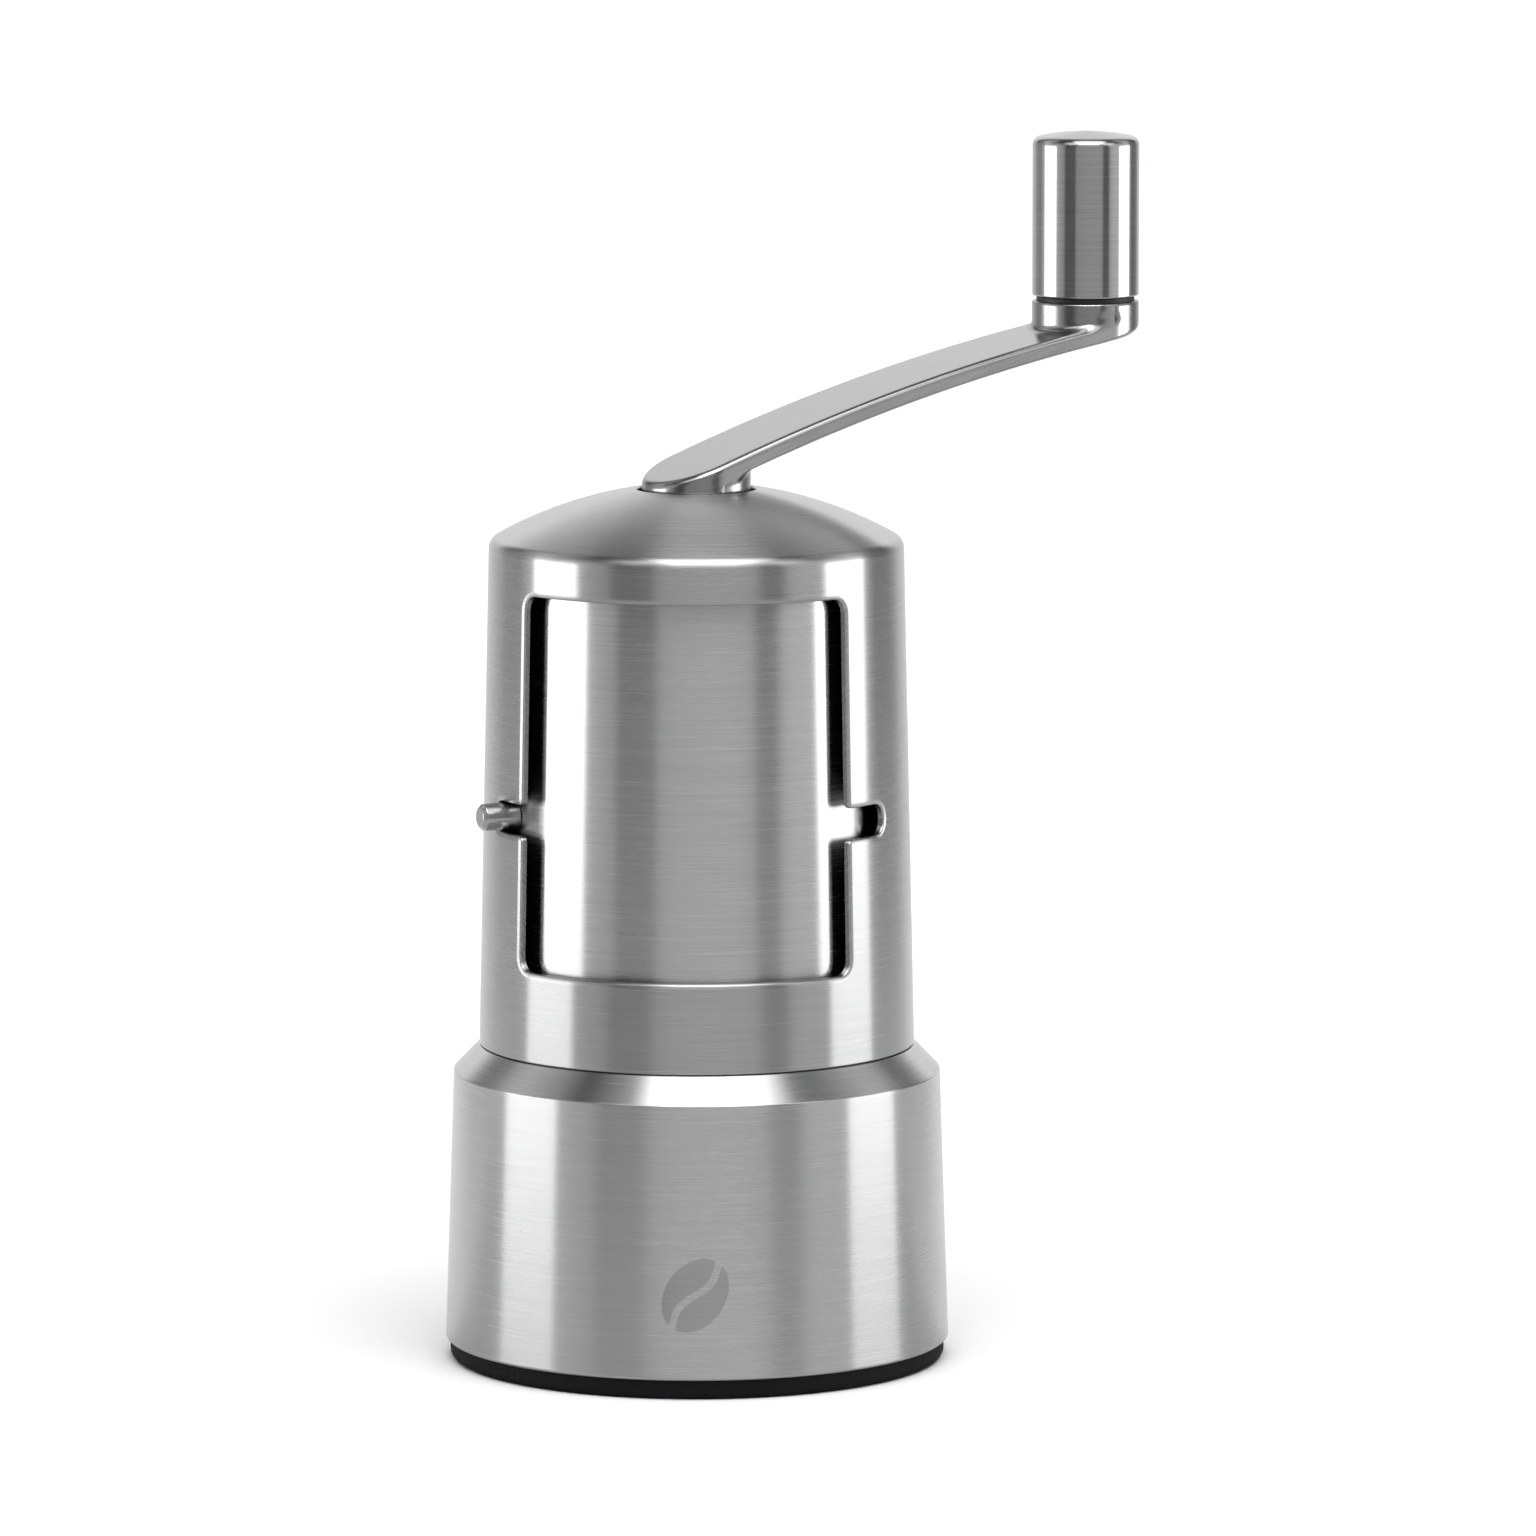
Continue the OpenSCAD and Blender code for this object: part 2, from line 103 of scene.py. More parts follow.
DOME_CENTRE_Z = DOME_TOP_Z - DOME_R
RIM_Z = DOME_CENTRE_Z + math.sqrt((DOME_R - RIM_FILLET) ** 2 - (SHELL_TOP_R - RIM_FILLET) ** 2)
RIM_ANGLE = math.atan2(RIM_Z - DOME_CENTRE_Z, SHELL_TOP_R - RIM_FILLET)
SHELL_TILT = math.atan2(SHELL_BOTTOM_R - SHELL_TOP_R, RIM_Z - SHELL_LOW_Z)


def shell_out(z):
    """Radius of the conical shell's outer face at a height."""
    return SHELL_BOTTOM_R + (SHELL_TOP_R - SHELL_BOTTOM_R) * (z - SHELL_LOW_Z) / (RIM_Z - SHELL_LOW_Z)


def sleeve_out(z):
    """Radius of the sleeve's outer face at a height."""
    return shell_out(z) - WALL - SLEEVE_GAP


# ---------------------------------------------------------------- camera, in metres

CAM_AZIMUTH = math.radians(4.4)
CAM_DISTANCE = 1.632
CAM_HEIGHT = 0.3118
CAM_SIDE = 0.0113
CAM_PITCH = math.radians(7.597)
CAM_LENS = 243.75

RIGHT = Vector((math.cos(CAM_AZIMUTH), math.sin(CAM_AZIMUTH), 0))
AWAY = Vector((-math.sin(CAM_AZIMUTH), math.cos(CAM_AZIMUTH), 0))
UP = Vector((0, 0, 1))


def make_camera():
    """In front of the mill, a little round towards +X, and looking slightly down."""
    data = bpy.data.cameras.new("camera")
    data.lens = CAM_LENS
    data.sensor_width = 36
    data.clip_end = 100
    camera = bpy.data.objects.new("camera", data)
    scene.collection.objects.link(camera)
    camera.location = CAM_SIDE * RIGHT - CAM_DISTANCE * AWAY + CAM_HEIGHT * UP
    camera.rotation_euler = (math.pi / 2 - CAM_PITCH, 0, CAM_AZIMUTH)
    scene.camera = camera


make_camera()

# ---------------------------------------------------------------- node helpers


class Nodes:
    """A short way to build a shader tree."""

    def __init__(self, tree):
        self.tree = tree

    def add(self, kind, **values):
        node = self.tree.nodes.new(kind)
        for key, value in values.items():
            setattr(node, key, value)
        return node

    def link(self, source, target):
        self.tree.links.new(source, target)

    def put(self, socket, value):
        """Links another node's output to a socket, or sets a plain value on it."""
        if isinstance(value, bpy.types.NodeSocket):
            self.link(value, socket)
        else:
            socket.default_value = value

    def math(self, operation, a, b=0.0):
        node = self.add("ShaderNodeMath", operation=operation)
        self.put(node.inputs[0], a)
        self.put(node.inputs[1], b)
        return node.outputs[0]

    def plus(self, a, b):
        return self.math("ADD", a, b)

    def minus(self, a, b):
        return self.math("SUBTRACT", a, b)

    def times(self, a, b):
        return self.math("MULTIPLY", a, b)

    def along(self, x, y, way):
        """How far the point (x, y) lies in a level direction."""
        return self.plus(self.times(x, way[0]), self.times(y, way[1]))

    def vector(self, x, y, z):
        node = self.add("ShaderNodeCombineXYZ")
        for socket, value in zip(node.inputs, (x, y, z)):
            self.put(socket, value)
        return node.outputs[0]

    def noise(self, vector, scale, detail, rough=0.5):
        node = self.add("ShaderNodeTexNoise")
        self.put(node.inputs["Vector"], vector)
        node.inputs["Scale"].default_value = scale
        node.inputs["Detail"].default_value = detail
        node.inputs["Roughness"].default_value = rough
        return node.outputs["Fac"]

    def ramp(self, factor, stops):
        """A colour ramp through stops of (position, grey level or colour)."""
        node = self.add("ShaderNodeValToRGB")
        ramp = node.color_ramp
        while len(ramp.elements) < len(stops):
            ramp.elements.new(0.5)
        for element, (position, value) in zip(ramp.elements, stops):
            element.position = position
            element.color = (*value, 1) if isinstance(value, tuple) else (value, value, value, 1)
        self.put(node.inputs["Fac"], factor)
        return node.outputs["Color"]

    def remap(self, value, low, high, to_low, to_high):
        """Takes low..high to to_low..to_high, and holds the end values beyond."""
        node = self.add("ShaderNodeMapRange")
        self.put(node.inputs["Value"], value)
        node.inputs["From Min"].default_value = low
        node.inputs["From Max"].default_value = high
        node.inputs["To Min"].default_value = to_low
        node.inputs["To Max"].default_value = to_high
        return node.outputs["Result"]

    def vary(self, noise, low, high):
        """Spreads a noise, which mostly lies between 0.3 and 0.7, over low..high."""
        return self.remap(noise, 0.3, 0.7, low, high)


def new_material(name):
    """An empty material, its node helper and its shader."""
    material = bpy.data.materials.new(name)
    material.use_nodes = True
    material.node_tree.nodes.clear()
    n = Nodes(material.node_tree)
    shader = n.add("ShaderNodeBsdfPrincipled")
    output = n.add("ShaderNodeOutputMaterial")
    n.link(shader.outputs[0], output.inputs["Surface"])
    return material, n, shader


def place(n, kind="Object"):
    """A texture coordinate, whole and as its x, y and z. On a piece, Object is the place in the row frame."""
    point = n.add("ShaderNodeTexCoord").outputs[kind]
    split = n.add("ShaderNodeSeparateXYZ")
    n.link(point, split.inputs[0])
    return point, split.outputs


# ---------------------------------------------------------------- materials


def bean_mark(n):
    """1 on a coffee bean etched on the cup's front: an oval with a curved line left bright along it."""
    centre_z = 16.6 * MM
    half_length = 6.3 * MM
    half_width = 4.7 * MM
    lean = math.radians(35)
    crease_bend = 0.2
    crease_width = 0.1
    _, (x, y, z) = place(n)
    across = n.along(x, y, RIGHT)
    up = n.minus(z, centre_z)
    near = n.math("LESS_THAN", n.along(x, y, AWAY), 0.0)
    length = n.along(across, up, (math.sin(lean) / half_length, math.cos(lean) / half_length))
    width = n.along(across, up, (math.cos(lean) / half_width, -math.sin(lean) / half_width))
    from_centre = n.plus(n.times(length, length), n.times(width, width))
    oval = n.remap(from_centre, 0.97, 1.03, 1.0, 0.0)
    crease = n.times(n.math("SINE", n.times(length, math.pi)), crease_bend)
    from_crease = n.math("ABSOLUTE", n.minus(width, crease))
    off_crease = n.remap(from_crease, crease_width, crease_width + 0.03, 0.0, 1.0)
    return n.times(n.times(oval, off_crease), near)


def add_bump(n, shader, height, strength, depth):
    """Bumps the surface by a pattern, with depth in metres."""
    bump = n.add("ShaderNodeBump")
    bump.inputs["Strength"].default_value = strength
    bump.inputs["Distance"].default_value = depth
    n.link(height, bump.inputs["Height"])
    n.link(bump.outputs[0], shader.inputs["Normal"])


def make_steel(n, shader, shade, tint, roughness, height, bump_strength):
    """The parts that every steel shares: a tinted grey, full metal, its roughness and a fine bump."""
    colour = n.add("ShaderNodeCombineColor")
    for socket, share in zip(colour.inputs, tint):
        n.put(socket, n.times(shade, share))
    n.link(colour.outputs[0], shader.inputs["Base Color"])
    shader.inputs["Metallic"].default_value = 1.0
    n.link(roughness, shader.inputs["Roughness"])
    add_bump(n, shader, height, bump_strength, 0.02 * MM)


def turned_steel(name, grey, rough, grooves=1.0, centre=(0, 0), mark=None):
    """Steel brushed round a vertical axis at centre: fine rings and broader, fainter streaks.

    A mark is a pattern that is etched, so it is darker and duller."""
    mark_shade = 0.36
    mark_dullness = 0.25
    material, n, shader = new_material(name)
    _, (x, y, z) = place(n)
    dx = n.minus(x, centre[0])
    dy = n.minus(y, centre[1])
    radius = n.math("SQRT", n.plus(n.times(dx, dx), n.times(dy, dy)))
    profile = n.minus(z, radius)

    def rings(level, upright, noise_rough):
        """Noise drawn out along the rings that the brushing leaves; level and upright are its scales."""
        stretched = n.vector(n.times(dx, level), n.times(dy, level), n.times(profile, upright))
        return n.noise(stretched, scale=1.0, detail=2, rough=noise_rough)

    fine = rings(60, 9000, 0.6)
    broad = rings(22, 2400, 0.5)
    streak = n.plus(n.times(fine, 0.75), n.times(broad, 0.25))
    cloud = n.noise(n.vector(x, y, z), scale=28.0, detail=2)
    shade = n.times(n.vary(streak, 0.9, 1.08), grey)
    roughness = n.plus(n.vary(streak, rough * 0.92, rough * 1.08), n.vary(cloud, -0.01, 0.01))
    if mark:
        etched = mark(n)
        shade = n.times(shade, n.minus(1.0, n.times(etched, mark_shade)))
        roughness = n.plus(roughness, n.times(etched, mark_dullness))
    make_steel(n, shader, shade, (0.995, 0.998, 1.0), roughness, streak, 0.025 * grooves)
    shader.inputs["Anisotropic"].default_value = 0.97
    shader.inputs["Anisotropic Rotation"].default_value = 0.25
    tangent = n.add("ShaderNodeTangent", direction_type="RADIAL", axis="Z")
    n.link(tangent.outputs[0], shader.inputs["Tangent"])
    return material


def satin_steel(name, grey, rough, lay=0.0):
    """Plain steel with a fine tumbled grain and faint polishing marks along the level direction lay."""
    climb = 0.3
    material, n, shader = new_material(name)
    point, (x, y, z) = place(n)
    along = n.along(x, y, (math.cos(lay), math.sin(lay)))
    across = n.along(x, y, (-math.sin(lay), math.cos(lay)))
    over = n.minus(z, n.times(along, climb))
    drawn_out = n.vector(n.times(along, 120), n.times(across, 3000), n.times(over, 3000))
    marks = n.noise(drawn_out, scale=1.0, detail=2)
    grain = n.noise(point, scale=3600.0, detail=2)
    cloud = n.noise(point, scale=60.0, detail=2)
    mixed = n.plus(n.times(n.plus(grain, marks), 0.35), n.times(cloud, 0.3))
    shade = n.vary(mixed, grey * 0.86, grey * 1.12)
    roughness = n.vary(mixed, rough * 0.85, rough * 1.15)
    make_steel(n, shader, shade, (1.0, 1.0, 1.0), roughness, grain, 0.06)
    return material


def grained(name, colour, rough, grain_scale=1800.0, bump=0.25, metallic=0.0, gloss=0.4):
    """Moulded plastic, rubber, ceramic or brass: one colour with a fine grain and a faint mottle."""
    material, n, shader = new_material(name)
    point, _ = place(n)
    grain = n.noise(point, grain_scale, detail=3)
    mottle = n.noise(point, scale=45.0, detail=2)
    low = tuple(c * 0.85 for c in colour)
    high = tuple(min(1.0, c * 1.15) for c in colour)
    n.link(n.ramp(mottle, [(0.3, low), (0.7, high)]), shader.inputs["Base Color"])
    shader.inputs["Metallic"].default_value = metallic
    shader.inputs["Specular IOR Level"].default_value = gloss
    n.link(n.vary(grain, rough * 0.88, rough * 1.12), shader.inputs["Roughness"])
    add_bump(n, shader, grain, bump, 0.03 * MM)
    return material


knob_low, knob_high = (Vector(corner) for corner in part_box("knob_shell"))
knob_centre = ((knob_low + knob_high) / 2).to_2d()

looks = {
    "cup_steel": turned_steel("cup_steel", grey=0.57, rough=0.26, mark=bean_mark),
    "shell_steel": turned_steel("shell_steel", grey=0.47, rough=0.26),
    "sleeve_steel": turned_steel("sleeve_steel", grey=0.57, rough=0.26),
    "arm_steel": satin_steel("arm_steel", grey=0.35, rough=0.22, lay=ARM_TURN),
    "knob_steel": turned_steel("knob_steel", grey=0.46, rough=0.17, grooves=0.6, centre=knob_centre),
    "peg_steel": satin_steel("peg_steel", grey=0.52, rough=0.22),
    "shaft_steel": turned_steel("shaft_steel", grey=0.55, rough=0.2),
    "hardware_steel": satin_steel("hardware_steel", grey=0.55, rough=0.34),
    "foot_rubber": grained("foot_rubber", (0.004, 0.004, 0.004), rough=0.7, gloss=0.2),
    "seal_rubber": grained("seal_rubber", (0.012, 0.012, 0.012), rough=0.6),
    "black_plastic": grained("black_plastic", (0.02, 0.02, 0.02), rough=0.5),
    "dark_plastic": grained("dark_plastic", (0.035, 0.035, 0.038), rough=0.48),
    "white_plastic": grained("white_plastic", (0.75, 0.75, 0.72), rough=0.42),
    "bush_brass": grained("bush_brass", (0.72, 0.50, 0.22), rough=0.3, grain_scale=900.0, bump=0.1,
                          metallic=1.0),
    "burr_ceramic": grained("burr_ceramic", (0.80, 0.77, 0.71), rough=0.55),
}

for subpart in frame["record"]["subparts"]:
    mesh = frame["nodes"][subpart["node"]].data
    mesh.materials.clear()
    mesh.materials.append(looks[subpart["material_slot"]])
    for polygon in mesh.polygons:
        polygon.material_index = 0

# ---------------------------------------------------------------- mesh helpers


class Skin:
    """Points with their own normals, joined where they meet, and the faces between them."""

    def __init__(self):
        self.points = []
        self.normals = []
        self.faces = []
        self.known = {}

    def point(self, place_mm, normal):
        """The index of the point here. Points within about 0.002 mm of each other count as one."""
        cell = 0.004
        sides = [{round(value / cell - 0.25), round(value / cell + 0.25)} for value in place_mm]
        keys = list(itertools.product(*sides))
        for key in keys:
            if key in self.known:
                return self.known[key]
        index = len(self.points)
        self.points.append(Vector(place_mm))
        self.normals.append(Vector(normal).normalized())
        for key in keys:
            self.known[key] = index
        return index

    def strip(self, lower, upper):
        """Faces between two closed rings, or between a ring and a single point."""
        count = max(len(lower), len(upper))
        for i in range(count):
            k = (i + 1) % count
            below = [lower[i % len(lower)], lower[k % len(lower)]]
            above = [upper[k % len(upper)], upper[i % len(upper)]]
            unique = list(dict.fromkeys(below + above))
            if len(unique) > 2:
                self.faces.append(unique)

    def piece(self, name, body, node, slot, turn=Matrix.Identity(3), move=Vector((0, 0, 0))):
        """The finished object in metres, turned and moved into place, which stands for its CAD node.
"""
        mesh = bpy.data.meshes.new(name)
        mesh.from_pydata([(turn @ point + move) * MM for point in self.points], [], self.faces)
        mesh.shade_smooth()
        mesh.normals_split_custom_set_from_vertices([tuple(turn @ normal) for normal in self.normals])
        mesh.materials.append(looks[slot])
        built = bpy.data.objects.new(name, mesh)
        scene.collection.objects.link(built)
        if body:
            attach(built, body)
        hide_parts(node)
        return built


def rounded(corners, steps=5):
    """The outline through corners (a, b, radius), anticlockwise, each corner turned into an arc.

    Gives (point, outward normal) pairs. A corner of radius 0 stays a point on a straight run."""
    outline = []
    for i, (a, b, radius) in enumerate(corners):
        here = Vector((a, b))
        before = (here - Vector(corners[i - 1][:2])).normalized()
        after = (Vector(corners[(i + 1) % len(corners)][:2]) - here).normalized()
        turn = math.atan2(before.x * after.y - before.y * after.x, before.dot(after))
        normal = Vector((before.y, -before.x))
        if radius == 0:
            outline.append((here, normal))
            continue
        side = math.copysign(1.0, turn)
        centre = here - before * radius * math.tan(abs(turn) / 2) - normal * side * radius
        for step in range(steps + 1):
            angle = turn * step / steps
            way = Vector((normal.x * math.cos(angle) - normal.y * math.sin(angle),
                          normal.x * math.sin(angle) + normal.y * math.cos(angle)))
            outline.append((centre + way * side * radius, way))
    return outline


def arc(centre, radius, start, end, steps, side=1):
    """Points on an arc with their normals; side -1 turns the normals inwards. Angles in radians."""
    outline = []
    for step in range(steps + 1):
        angle = start + (end - start) * step / steps
        way = Vector((math.cos(angle), math.sin(angle)))
        outline.append((Vector(centre) + way * radius, way * side))
    return outline


def on_axis(height, up):
    """An outline's point on the axis, whose normal points up or, with up -1, down."""
    return Vector((0, height)), Vector((0, up))


def compass(angle):
    """The sine and cosine of a turn from -Y towards +X."""
    return math.sin(angle), -math.cos(angle)


def add_lathe(skin, outline, sides=240):
    """Turns an outline of (radius, height) points, each with its normal, round the vertical axis."""
    rings = []
    for (radius, height), (out, up) in outline:
        if radius < 1e-6:
            rings.append([skin.point((0, 0, height), (0, 0, up))])
            continue
        ring = []
        for i in range(sides):
            x, y = compass(2 * math.pi * i / sides - math.pi)
            ring.append(skin.point((radius * x, radius * y, height), (out * x, out * y, up)))
        rings.append(ring)
    for lower, upper in zip(rings, rings[1:]):
        skin.strip(lower, upper)


def stepped(outline, longest):
    """The same closed outline with its long straight runs cut into short ones."""
    result = []
    for (point, normal), (following, next_normal) in zip(outline, outline[1:] + outline[:1]):
        result.append((point, normal))
        run = following - point
        pieces = int(run.length / longest) + 1
        for piece in range(1, pieces):
            result.append((point + run * piece / pieces, next_normal))
    return result


def inside(points, loop):
    """For each flat point, whether it lies inside a closed loop."""
    x, y = np.array(points)[:, :, None].transpose(1, 0, 2)
    start = np.array(loop)
    end = np.roll(start, -1, axis=0)
    crosses = (start[:, 1] > y) != (end[:, 1] > y)
    rise = np.where(end[:, 1] == start[:, 1], 1.0, end[:, 1] - start[:, 1])
    meets = start[:, 0] + (y - start[:, 1]) * (end[:, 0] - start[:, 0]) / rise
    return (crosses & (x < meets)).sum(axis=1) % 2 == 1


def distance(points, loop):
    """For each flat point, how far the loop's nearest point is."""
    return np.linalg.norm(np.array(points)[:, None] - np.array(loop)[None], axis=2).min(axis=1)


def add_windowed_wall(skin, radius_at, wall, low, high, outline, edge, crown):
    """A conical wall from height low to high with one opening, whose edges are rounded outside and in.

    The opening's outline is (angle from -Y times the middle radius, height). The outer edge bends in gently
    at first, on the radius crown, before its tighter rounding on the radius edge."""
    sides = 240
    rows = 14
    clear_of_edge = 0.7
    steps = 5
    crown_angle = math.radians(20)
    middle_r = radius_at((low + high) / 2)
    tilt = math.atan2(radius_at(low) - radius_at(high), high - low)
    inner_edge = edge * 0.4
    crown_depth = crown * (1 - math.cos(crown_angle))
    crown_width = crown * math.sin(crown_angle)
    edge_width = edge * (1 - math.sin(crown_angle))
    outline = stepped(outline, 1.0)

    def bent(flat, depth, out, around, up):
        """Bends a flat point onto the cone, depth under its outer face, with the normal's three parts."""
        x, y = compass(flat.x / middle_r)
        radius = radius_at(flat.y) - depth
        along = (-y, x)
        normal = (out * x + around * along[0], out * y + around * along[1], up + out * math.tan(tilt))
        return skin.point((radius * x, radius * y, flat.y), normal)

    def face(offset, depth, out):
        """The whole outer or inner face, in triangles, up to the opening's outline widened by offset."""
        loop = [point + normal * offset for point, normal in outline]
        edges = [(i, (i + 1) % len(loop)) for i in range(len(loop))]
        spots = []
        border = []
        for k in range(rows + 1):
            for i in range(sides + 1):
                spots.append((middle_r * (2 * math.pi * i / sides - math.pi), low + (high - low) * k / rows))
                border.append(k in (0, rows))
        clear = ~inside(spots, loop) & (distance(spots, loop) > clear_of_edge)
        flat = loop + [Vector(spot) for spot, kept in zip(spots, clear | np.array(border)) if kept]
        points, _, triangles, _, _, _ = geometry.delaunay_2d_cdt(flat, edges, [], 0, 1e-6)
        marks = [bent(point, depth, out, 0, 0) for point in points]
        middles = [sum((points[k] for k in triangle), Vector((0, 0))) / 3 for triangle in triangles]
        for triangle, hole in zip(triangles, inside(middles, loop)):
            if hole:
                continue
            one, two, three = (points[k] for k in triangle)
            corners = [marks[k] for k in triangle]
            if ((two - one).cross(three - one) > 0) != (out > 0):
                corners.reverse()
            skin.faces.append(corners)

    face(crown_width + edge_width, 0, 1)
    face(inner_edge, wall, -1)
    loops = []

    def ring(angle, offset, depth):
        """One ring round the opening; the angle turns its normal from outwards to into the opening and on."""
        lean = math.sin(angle)
        out = math.cos(angle)
        loops.append([bent(point + normal * offset, depth, out, -normal.x * lean, -normal.y * lean)
                      for point, normal in outline])

    for step in range(steps):
        angle = crown_angle * step / steps
        ring(angle, crown_width + edge_width - crown * math.sin(angle), crown * (1 - math.cos(angle)))
    for step in range(steps + 1):
        angle = crown_angle + (math.pi / 2 - crown_angle) * step / steps
        depth = crown_depth + edge * (math.cos(crown_angle) - math.cos(angle))
        ring(angle, edge * (1 - math.sin(angle)), depth)
    for step in range(steps):
        angle = math.pi / 2 * (1 + step / (steps - 1))
        ring(angle, inner_edge * (1 - math.sin(angle)), wall - inner_edge * (1 + math.cos(angle)))
    for outer, inner in zip(loops, loops[1:]):
        skin.strip(outer, inner)


# ---------------------------------------------------------------- the pieces in view


def make_cup():
    """Up the outside, over the sloping shoulder into the neck, and back down the inside."""
    floor_z = FOOT_H + WALL
    neck_r = SHELL_BOTTOM_R - WALL
    outline = [on_axis(FOOT_H, -1)]
    outline += rounded([
        (0, FOOT_H, 0), (CUP_BOTTOM_R, FOOT_H, 0.5), (CUP_TOP_R, SHOULDER_LOW_Z + 0.2, 0.45),
        (SHELL_BOTTOM_R + 0.1, SHOULDER_TOP_Z, 0.3), (neck_r, SHOULDER_TOP_Z, 0.15),
        (neck_r, SHOULDER_TOP_Z - 0.8, 0.15), (CUP_TOP_R - WALL - 0.4, SHOULDER_LOW_Z - WALL, 0.4),
        (CUP_BOTTOM_R - WALL, floor_z, 1.2), (0, floor_z, 0)])[1:-1]
    outline.append(on_axis(floor_z, 1))
    skin = Skin()
    add_lathe(skin, outline)
    skin.piece("drawn_cup", "base", "grounds_cup", "cup_steel")


def make_foot():
    """A flat disc with a well rounded lower edge."""
    edge = 1.3
    outline = [on_axis(0, -1)]
    rim_r = FOOT_R + edge
    outline += rounded([(0, 0, 0), (rim_r, 0, edge - 0.02), (rim_r, FOOT_H, 0.25), (0, FOOT_H, 0)])[1:-1]
    outline.append(on_axis(FOOT_H, 1))
    skin = Skin()
    add_lathe(skin, outline)
    skin.piece("rubber_foot", "base", "base_foot", "foot_rubber")


def make_shell():
    """The conical wall with its window and the slot across it, the dome, and the lip at the bottom."""
    edge = 0.35
    slot_mouth = 1.0
    low = SHELL_LOW_Z + 0.3
    inner_r = DOME_R - WALL
    hole_angle = math.acos((DOME_HOLE_R + edge) / (DOME_R - edge))
    inner_hole_angle = math.acos(DOME_HOLE_R / inner_r)
    middle_r = shell_out((low + RIM_Z) / 2)
    side = WINDOW_HALF * middle_r
    end = PEG_STOP * middle_r + SLOT_HALF
    round_end = SLOT_HALF - 0.01
    slot_low = SLOT_Z - SLOT_HALF
    slot_high = SLOT_Z + SLOT_HALF
    right_side = [(side, slot_low, slot_mouth), (end, slot_low, round_end),
                  (end, slot_high, round_end), (side, slot_high, slot_mouth)]
    left_side = [(-u, z, radius) for u, z, radius in reversed(right_side)]
    bottom = [(-side, WINDOW_LOW_Z, WINDOW_CORNER), (side, WINDOW_LOW_Z, WINDOW_CORNER)]
    top = [(side, WINDOW_HIGH_Z, WINDOW_CORNER), (-side, WINDOW_HIGH_Z, WINDOW_CORNER)]
    window = rounded(bottom + right_side + top + left_side, steps=8)
    skin = Skin()
    add_windowed_wall(skin, shell_out, WALL, low, RIM_Z, window, edge, crown=2.0)
    rim_centre = (SHELL_TOP_R - RIM_FILLET, RIM_Z)
    crown = arc(rim_centre, RIM_FILLET, 0, RIM_ANGLE, 12)
    crown += arc((0, DOME_CENTRE_Z), DOME_R, RIM_ANGLE, hole_angle, 40)[1:]
    hole_edge_z = DOME_CENTRE_Z + (DOME_R - edge) * math.sin(hole_angle)
    crown += arc((DOME_HOLE_R + edge, hole_edge_z), edge, hole_angle, math.pi, 5)[1:]
    crown += arc((0, DOME_CENTRE_Z), inner_r, inner_hole_angle, RIM_ANGLE, 30, side=-1)
    crown += arc(rim_centre, RIM_FILLET - WALL, RIM_ANGLE, 0, 8, side=-1)[1:]
    add_lathe(skin, crown)
    lip_low = SHELL_LOW_Z
    lip = rounded([(shell_out(low) - WALL, low, 0), (shell_out(lip_low) - WALL, lip_low, 0.2),
                   (shell_out(lip_low), lip_low, 0.25), (shell_out(low), low, 0)])
    lip[0] = (lip[0][0], Vector((-1, 0)))
    lip[-1] = (lip[-1][0], Vector((1, math.tan(SHELL_TILT))))
    add_lathe(skin, lip)
    skin.piece("domed_shell", "housing", "outer_shell", "shell_steel")


def make_sleeve():
    """The sleeve's window lies behind the shell at rest, two peg stops round from the shell's window."""
    low = SLEEVE_LOW_Z + 0.3
    high = SLEEVE_TOP_Z - 0.3
    middle_r = sleeve_out((low + high) / 2)
    side = WINDOW_HALF * middle_r
    window_low = WINDOW_LOW_Z - 1
    window_high = WINDOW_HIGH_Z - 0.6
    corner = 1.0
    window = rounded([(-side, window_low, corner), (side, window_low, corner),
                      (side, window_high, corner), (-side, window_high, corner)])
    skin = Skin()
    add_windowed_wall(skin, sleeve_out, SLEEVE_WALL, low, high, window, edge=0.2, crown=0.5)

    def lip(z_end, z_ring, downwards):
        """Closes the wall at one end, from the ring of points where the windowed wall stops."""
        rim = 0.25
        end_r = sleeve_out(z_end)
        ring_r = sleeve_out(z_ring)
        corners = [(ring_r, z_ring, 0), (end_r, z_end, rim),
                   (end_r - SLEEVE_WALL, z_end, rim), (ring_r - SLEEVE_WALL, z_ring, 0)]
        ends = [Vector((1, math.tan(SHELL_TILT))), Vector((-1, 0))]
        if downwards:
            corners.reverse()
            ends.reverse()
        outline = rounded(corners)
        outline[0] = (outline[0][0], ends[0])
        outline[-1] = (outline[-1][0], ends[1])
        add_lathe(skin, outline)

    lip(SLEEVE_LOW_Z, low, downwards=True)
    lip(SLEEVE_TOP_Z, high, downwards=False)
    turn = Matrix.Rotation(-2 * PEG_STOP, 3, "Z")
    skin.piece("window_sleeve", "shutter", "shutter_sleeve", "sleeve_steel", turn)


